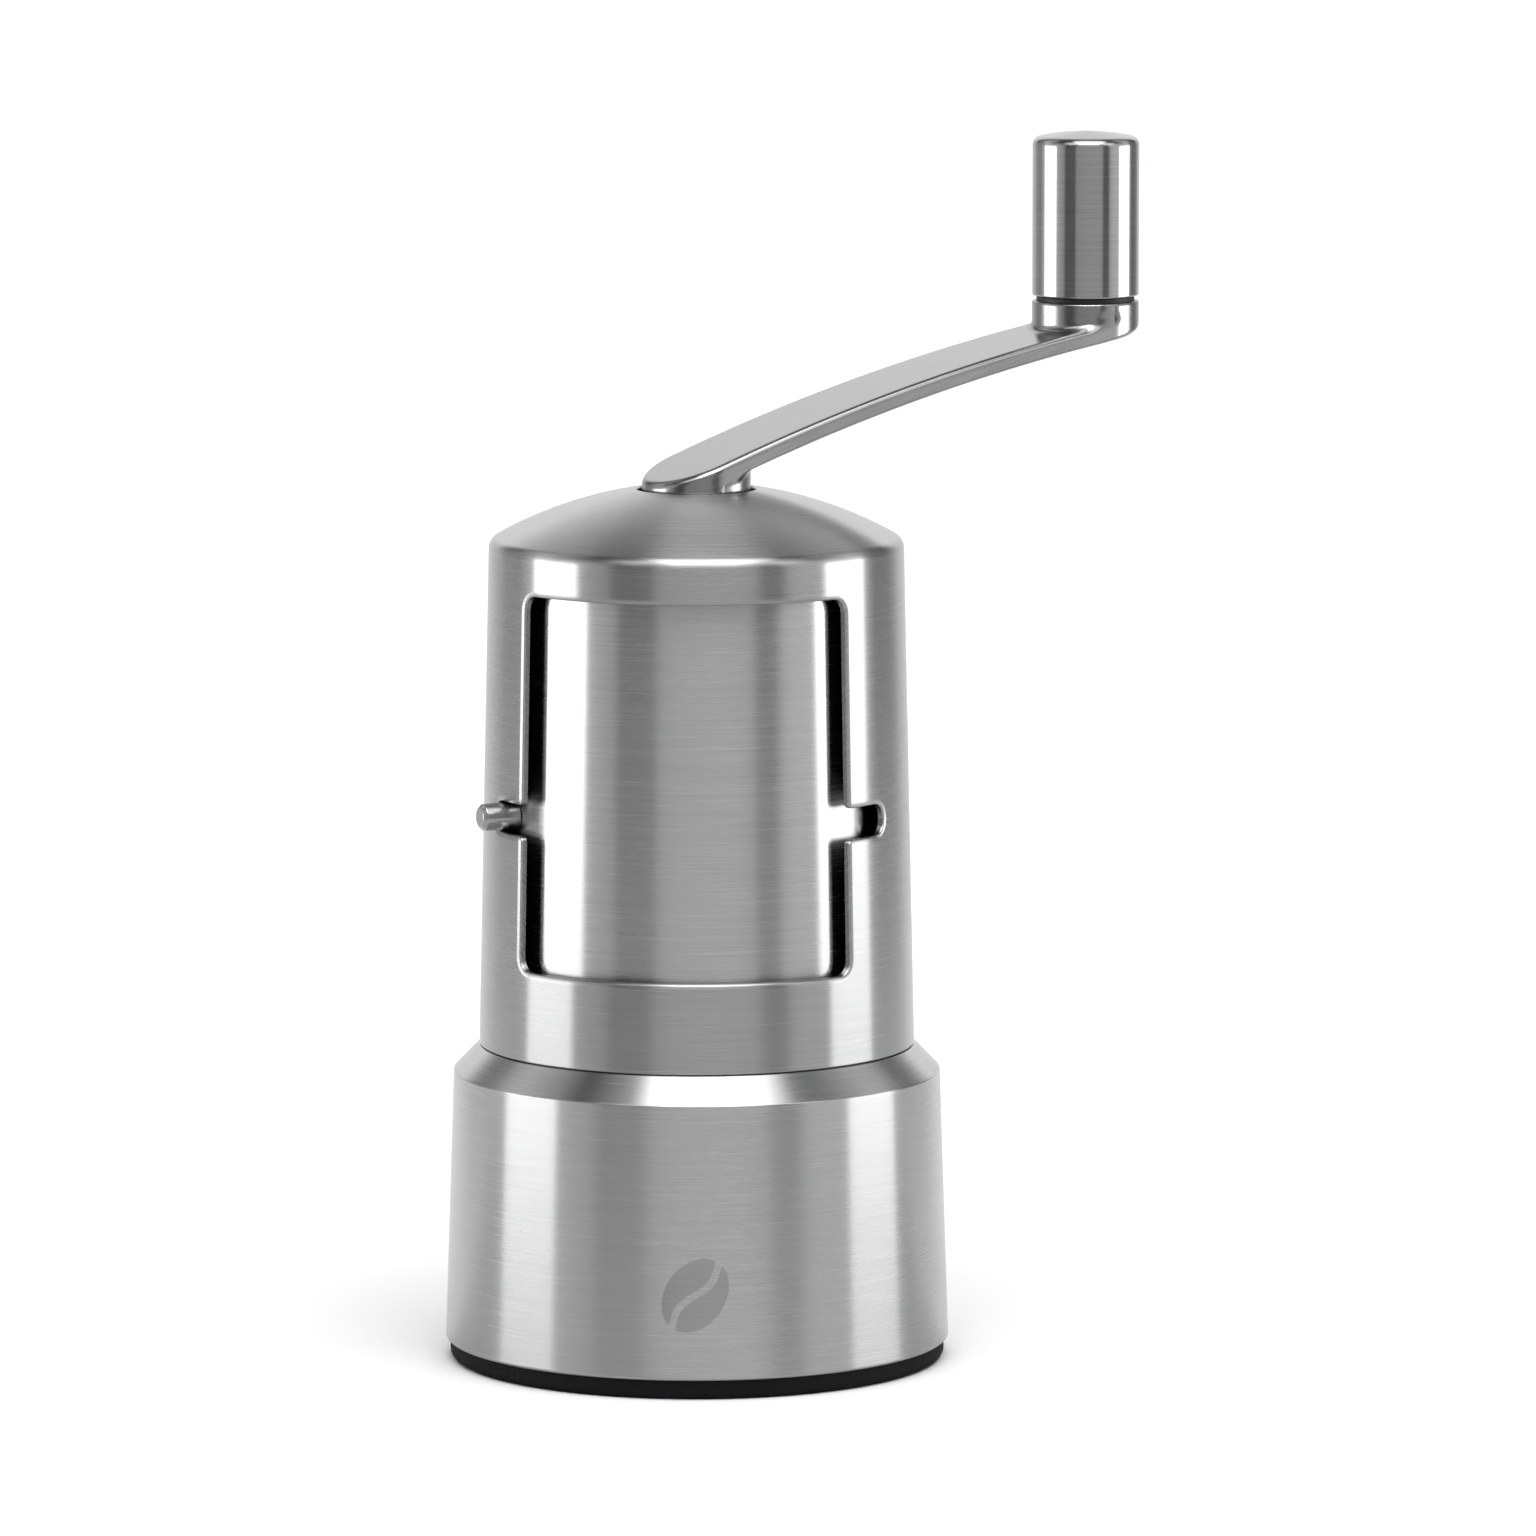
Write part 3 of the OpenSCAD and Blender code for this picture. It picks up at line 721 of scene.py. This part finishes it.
def make_peg():
    """Turned about its own axis from its inner end to its tip, then laid level."""
    seat = sleeve_out(SLOT_Z)
    start = seat - SLEEVE_WALL - 1.7
    stud_r = 1.2
    bevel = 0.6
    outline = [on_axis(start, -1)]
    outline += rounded([(0, start, 0), (stud_r, start, 0.15), (stud_r, seat, 0.1), (PEG_R, seat, 0.15),
                        (PEG_R, PEG_TIP_R - bevel + 0.05, 0.25), (PEG_R - bevel, PEG_TIP_R, 0.25),
                        (0, PEG_TIP_R, 0)])[1:-1]
    outline.append(on_axis(PEG_TIP_R, 1))
    skin = Skin()
    add_lathe(skin, outline, sides=72)
    x, y = compass(-PEG_STOP)
    laid = Matrix(((-y, x, 0), UP, (x, y, 0))).transposed()
    skin.piece("turned_peg", "shutter", "shutter_peg", "peg_steel", laid, UP * SLOT_Z)


def make_knob():
    """A hollow cylinder with a rounded rim and a softly domed top, open below."""
    edge = 1.5
    crown = 0.7
    inner_r = KNOB_R - WALL
    side_top = KNOB_TOP_Z - crown - edge
    inner_top = side_top - 0.4
    flat_r = KNOB_R - edge
    lean = math.atan2(2 * crown / flat_r, 1)
    outline = [on_axis(inner_top, -1)]
    outline += rounded([(0, inner_top, 0), (inner_r, inner_top, 0.3), (inner_r, KNOB_LOW_Z, 0.2),
                        (KNOB_R, KNOB_LOW_Z, 0.35), (KNOB_R, side_top, 0)])[1:-1]
    outline += arc((flat_r, side_top), edge, 0, math.pi / 2 - lean, 12)
    join = outline[-1][0]
    dome = KNOB_TOP_Z - join.y
    for step in range(1, 7):
        share = 1 - 0.15 * step
        slope = 2 * dome * share / join.x
        outline.append((Vector((join.x * share, KNOB_TOP_Z - dome * share ** 2)), Vector((slope, 1))))
    outline.append(on_axis(KNOB_TOP_Z, 1))
    skin = Skin()
    add_lathe(skin, outline, sides=144)
    skin.piece("steel_knob", "knob", "knob_shell", "knob_steel", move=knob_centre.to_3d() / MM)


def edge_of(a, b, radius):
    """Where two solids overlap, with the edge between them rounded: fields below 0 are inside."""
    past = np.hypot(np.maximum(a + radius, 0), np.maximum(b + radius, 0))
    return np.minimum(-radius, np.maximum(a, b)) + past


def fillet_of(a, b, radius):
    """Two solids joined, with a fillet between them."""
    within = np.hypot(np.maximum(radius - a, 0), np.maximum(radius - b, 0))
    return np.maximum(radius, np.minimum(a, b)) - within


def arm_field(x, y, z):
    """Below 0 inside the arm, which runs along +X from the hub's axis to the knob's.

    Seen from above the arm is a bar with round ends. Seen from the side it is a curved strip, with the hub
    below one end and the boss on the other. Both widen a little into the strip."""
    centre_x = ARM_CURVE_R * math.sin(ARM_SLOPE)
    centre_z = ARM_HUB_Z - ARM_CURVE_R * math.cos(ARM_SLOPE)
    hub_flare = 1.3
    boss_flare = 1.2
    widening = 0.5
    rim = 0.4
    hub_rim = 0.3
    plan = np.hypot(x - np.clip(x, 0, CRANK_LEN), y) - ARM_R
    above = np.hypot(x - centre_x, z - centre_z) - ARM_CURVE_R
    below = -ARM_T - above
    hub = np.hypot(np.maximum(x, 0), y) - ARM_R + widening * np.minimum(x, 0)
    boss = np.hypot(np.minimum(x - CRANK_LEN, 0), y) - ARM_R - widening * np.maximum(x - CRANK_LEN, 0)
    under_top = fillet_of(above, edge_of(boss, z - BOSS_TOP_Z, rim), boss_flare)
    over_bottom = fillet_of(below, edge_of(hub, HUB_LOW_Z - z, hub_rim), hub_flare)
    top_rounding = rim + 0.6 * np.clip((BOSS_TOP_Z - 1 - z) / 1.5, 0, 1)
    bottom_rounding = rim + 0.8 * np.clip((x - CRANK_LEN + 2) / 8, 0, 1)
    return np.maximum(edge_of(under_top, plan, top_rounding), edge_of(over_bottom, plan, bottom_rounding))


def add_field(skin, field, low, high, step):
    """The surface where a field is 0, as quads about one step wide."""
    axes = [np.arange(start, stop + step, step) for start, stop in zip(low, high)]
    solid = field(*np.meshgrid(*axes, indexing="ij")) < 0
    cells = np.array(solid.shape) - 1
    filled = sum(solid[i:i + cells[0], j:j + cells[1], k:k + cells[2]].astype(int)
                 for i, j, k in itertools.product((0, 1), repeat=3))
    crossed = np.argwhere((filled > 0) & (filled < 8))
    index = np.full(cells, -1)
    index[tuple(crossed.T)] = np.arange(len(crossed))
    points = np.array(low) + (crossed + 0.5) * step

    def slope():
        nudge = 0.01
        sides = []
        for axis in range(3):
            shift = np.zeros(3)
            shift[axis] = nudge
            sides.append((field(*(points + shift).T) - field(*(points - shift).T)) / (2 * nudge))
        return np.stack(sides, axis=1)

    for _ in range(6):
        gradient = slope()
        size = np.maximum((gradient ** 2).sum(axis=1), 0.05)
        points = points - gradient * (field(*points.T) / size)[:, None]
    skin.points = [Vector(point) for point in points]
    skin.normals = [Vector(normal).normalized() for normal in slope()]
    for axis in range(3):
        one, two = (axis + 1) % 3, (axis + 2) % 3
        before = np.take(solid, range(cells[axis]), axis)
        after = np.take(solid, range(1, cells[axis] + 1), axis)
        places = np.argwhere(before != after)
        step_one = np.eye(3, dtype=int)[one]
        step_two = np.eye(3, dtype=int)[two]
        corners = [places - step_one - step_two, places - step_two, places, places - step_one]
        quads = np.stack([index[tuple(corner.T)] for corner in corners], axis=1)
        outwards = before[tuple(places.T)]
        skin.faces += quads[outwards].tolist()
        skin.faces += quads[~outwards][:, ::-1].tolist()


def make_arm():
    skin = Skin()
    reach = ARM_R + 0.9
    spare = 0.8
    low = (-reach, -reach, HUB_LOW_Z - spare)
    high = (CRANK_LEN + reach, reach, BOSS_TOP_Z + spare)
    add_field(skin, arm_field, low, high, step=0.33)
    skin.piece("curved_arm", "crank", "crank_arm", "arm_steel", Matrix.Rotation(ARM_TURN, 3, "Z"))


def make_spring():
    """A coil of round wire from the burr's carrier up to its seat, built at one length."""
    low, high = (Vector(corner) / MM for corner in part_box("burr_spring"))
    wire_r = 0.4
    wire_sides = 16
    coil_r = high.x - wire_r
    whole = 2 * math.pi * 4
    steps = 192
    skin = Skin()

    def ring(turn, lean):
        """Points round the wire. A lean tips them towards an end of the wire, to round it off."""
        x, y = compass(turn)
        outwards = Vector((x, y, 0))
        ahead = Vector((-y, x, 0))
        centre = outwards * coil_r + UP * (low.z + wire_r + (high.z - low.z - 2 * wire_r) * turn / whole)
        points = []
        for k in range(wire_sides):
            angle = -2 * math.pi * k / wire_sides
            around = outwards * math.cos(angle) + UP * math.sin(angle)
            normal = around * math.cos(lean) + ahead * math.sin(lean)
            points.append(skin.point(centre + normal * wire_r, normal))
        return points

    leans = [math.radians(angle) for angle in (90, 60, 30)]
    rings = [ring(0, -lean) for lean in leans]
    rings += [ring(whole * step / steps, 0) for step in range(steps + 1)]
    rings += [ring(whole, lean) for lean in reversed(leans)]
    for before, after in zip(rings, rings[1:]):
        skin.strip(before, after)
    spring = skin.piece("wire_spring", None, "burr_spring", "shaft_steel")
    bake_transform(spring)


make_cup()
make_foot()
make_shell()
make_sleeve()
make_peg()
make_arm()
make_knob()
make_spring()

# ---------------------------------------------------------------- floor, world and lights

FLOOR_RADIUS = 9.0
# The card's two tones are painted shade and light that only the steel mirrors: grey towards the camera, paler
# on the far side.
CARD_RADIUS = 0.6
CARD_SHADE_NEAR = 0.45
CARD_LIT_FAR = 0.7

# The studio's brightness round the horizon: (degrees from the camera, positive to its right; level).
HORIZON = [(-180, 0.85), (-150, 0.75), (-138, 0.6), (-130, 0.42), (-114, 0.38), (-106, 0.8), (-68, 0.85),
           (-60, 0.62), (-50, 0.45), (-46, 0.12), (-26, 0.12), (-21, 0.44), (-5, 0.47), (12, 0.5), (33, 0.5),
           (38, 0.14), (48, 0.14), (53, 0.62), (60, 0.78), (72, 0.85), (109, 0.7), (116, 0.22), (134, 0.3),
           (142, 0.5), (150, 0.75), (180, 0.85)]

# The soft boxes' levels, and their edges in degrees: (lowest, highest, softness).
SIDE_BOX = 3.7
LEFT_TURN = (-101, -69, 1)
RIGHT_TURN = (76, 106, 1)
SIDE_RISE = (-50, 8, 3)
BACK_BOX = 0.55
BACK_TURN = (104, 132, 2)
BACK_RISE = (30, 58, 3)
TOP_BOX = 3.2
TOP_LEAN_SIDE = (-16, 26, 2)
TOP_LEAN_FRONT = (0, 44, 3)
WIDE_BOX = 1.6
WIDE_LEAN_SIDE = (-40, 54, 2)
WIDE_LEAN_FRONT = (18, 44, 3)


def degrees_between(n, y, x):
    return n.times(n.math("ARCTAN2", y, x), 180 / math.pi)


def camera_turn(n, x, y):
    """Degrees round the mill from the camera's side, positive to the camera's right."""
    return degrees_between(n, n.along(x, y, RIGHT), n.along(x, y, -AWAY))


def make_disc(name, radius, height, paint):
    """A flat round sheet of matt paint under the mill."""
    sides = 96
    rim = []
    for i in range(sides):
        angle = 2 * math.pi * i / sides
        rim.append((radius * math.cos(angle), radius * math.sin(angle), height))
    mesh = bpy.data.meshes.new(name)
    mesh.from_pydata(rim, [], [list(range(sides))])
    sheet = bpy.data.objects.new(name, mesh)
    scene.collection.objects.link(sheet)
    material, n, shader = new_material(name + "_paint")
    n.link(paint(n), shader.inputs["Base Color"])
    shader.inputs["Roughness"].default_value = 0.9
    mesh.materials.append(material)
    return sheet


def white_paint(n):
    point, _ = place(n)
    return n.ramp(n.noise(point, scale=3.0, detail=2), [(0.3, 0.91), (0.7, 0.93)])


def card_painted_shade(n):
    """Painted shade and light for the steel to mirror: grey towards the camera and paler on the far side."""
    _, (x, y, _) = place(n)
    return n.remap(n.math("ABSOLUTE", camera_turn(n, x, y)), 98, 110, CARD_SHADE_NEAR, CARD_LIT_FAR)


def make_floor():
    """The floor fills the picture. The steel mirrors only a card of table size, which nothing else sees, and
    whose grey near side is painted shade.
    """
    floor = make_disc("floor", FLOOR_RADIUS, 0.0, white_paint)
    floor.visible_glossy = False
    card = make_disc("card", CARD_RADIUS, 0.02 * MM, card_painted_shade)
    card.visible_camera = False
    card.visible_diffuse = False
    card.visible_shadow = False


def make_floor_lamp():
    """A wide lamp overhead that lights the floor and isn't mirrored in the steel."""
    data = bpy.data.lights.new("floor_lamp", "SUN")
    data.angle = math.radians(70)
    data.energy = 0.75
    lamp = bpy.data.objects.new("floor_lamp", data)
    scene.collection.objects.link(lamp)
    lamp.location = (0, 0, 2.2)
    lamp.visible_glossy = False


def make_world():
    """The studio as the mill mirrors it: walls that vary round the horizon, and soft boxes.

    turn is the angle round from the camera and rise the angle above the horizon. lean_side and lean_front
    are the angles from straight up, towards the camera's right and towards the camera."""
    world = bpy.data.worlds.new("studio")
    scene.world = world
    world.use_nodes = True
    n = Nodes(world.node_tree)
    world.node_tree.nodes.clear()
    _, (x, y, z) = place(n, "Generated")
    turn = camera_turn(n, x, y)
    turn_size = n.math("ABSOLUTE", turn)
    rise = n.times(n.math("ARCSINE", z), 180 / math.pi)
    lean_side = degrees_between(n, n.along(x, y, RIGHT), z)
    lean_front = degrees_between(n, n.along(x, y, -AWAY), z)

    def band(value, low, high, soft):
        """1 between low and high, with soft degrees of fading to each side of both."""
        up = n.remap(value, low - soft, low + soft, 0.0, 1.0)
        down = n.remap(value, high - soft, high + soft, 1.0, 0.0)
        return n.times(up, down)

    def box(level, across, across_edges, along, along_edges):
        return n.times(n.times(band(across, *across_edges), band(along, *along_edges)), level)

    def blend(factor, low, high):
        return n.plus(n.times(n.minus(1.0, factor), low), n.times(factor, high))

    horizon = n.ramp(n.plus(n.math("DIVIDE", turn, 360.0), 0.5),
                     [((angle + 180) / 360, level) for angle, level in HORIZON])
    backdrop = n.remap(rise, 25, 60, 1.2, 0.16)
    ceiling = blend(n.remap(turn_size, 146, 153, 0.0, 1.0), 0.08, backdrop)
    above_walls = blend(n.remap(turn_size, 130, 134, 0.0, 1.0),
                        n.remap(rise, 25, 45, 0.0, 1.0), n.remap(rise, 6, 22, 0.0, 1.0))
    level = blend(above_walls, horizon, ceiling)
    level = n.plus(level, box(SIDE_BOX, turn, LEFT_TURN, rise, SIDE_RISE))
    level = n.plus(level, box(SIDE_BOX, turn, RIGHT_TURN, rise, SIDE_RISE))
    level = n.plus(level, box(BACK_BOX, turn_size, BACK_TURN, rise, BACK_RISE))
    overhead = n.plus(box(TOP_BOX, lean_side, TOP_LEAN_SIDE, lean_front, TOP_LEAN_FRONT),
                      box(WIDE_BOX, lean_side, WIDE_LEAN_SIDE, lean_front, WIDE_LEAN_FRONT))
    level = n.plus(level, n.times(overhead, n.math("GREATER_THAN", z, 0.0)))
    seen = n.add("ShaderNodeLightPath").outputs["Is Camera Ray"]
    background = n.add("ShaderNodeBackground")
    n.link(blend(seen, level, 1.0), background.inputs["Color"])
    output = n.add("ShaderNodeOutputWorld")
    n.link(background.outputs[0], output.inputs[0])


make_floor()
make_floor_lamp()
make_world()
scene.view_settings.view_transform = "Standard"
